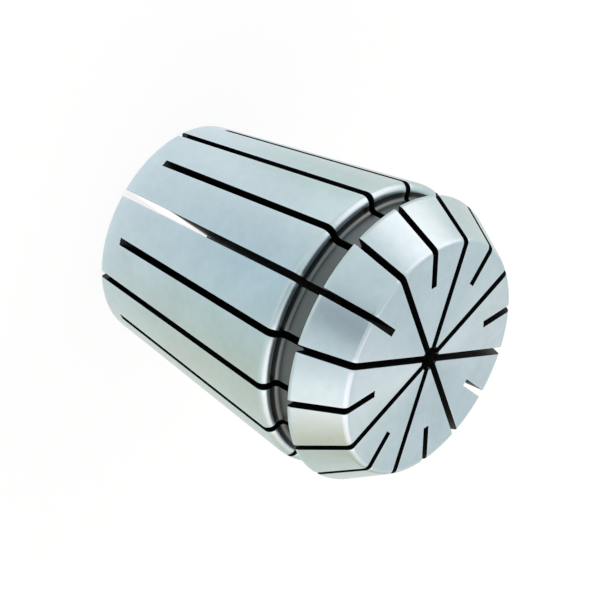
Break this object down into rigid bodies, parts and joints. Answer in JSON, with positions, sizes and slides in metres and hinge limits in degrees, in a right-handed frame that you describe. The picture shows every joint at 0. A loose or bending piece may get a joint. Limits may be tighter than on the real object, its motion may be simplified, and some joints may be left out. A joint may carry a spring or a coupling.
{
  "type": "er collet",
  "caption": "Double-slotted spring collet with a main taper, a nut groove, a nose cone and a small through bore that grips a tool shank.",
  "frame": {"origin": "centre of the small rear end, on the plane that the collet stands on", "axes": "+Z along the collet's axis from the small rear end to the nose; +X through the middle of a slot that is open at the front face"},
  "size_m": [0.041, 0.041, 0.046],
  "materials": {
    "ground_steel": "hardened spring steel, ground on the tapers, the nose cone and the front face, fine turned lines in the groove, darker sawn slot walls"
  },
  "bodies": {
    "root": {"collet_body": "ground_steel"}
  },
  "joints": []
}
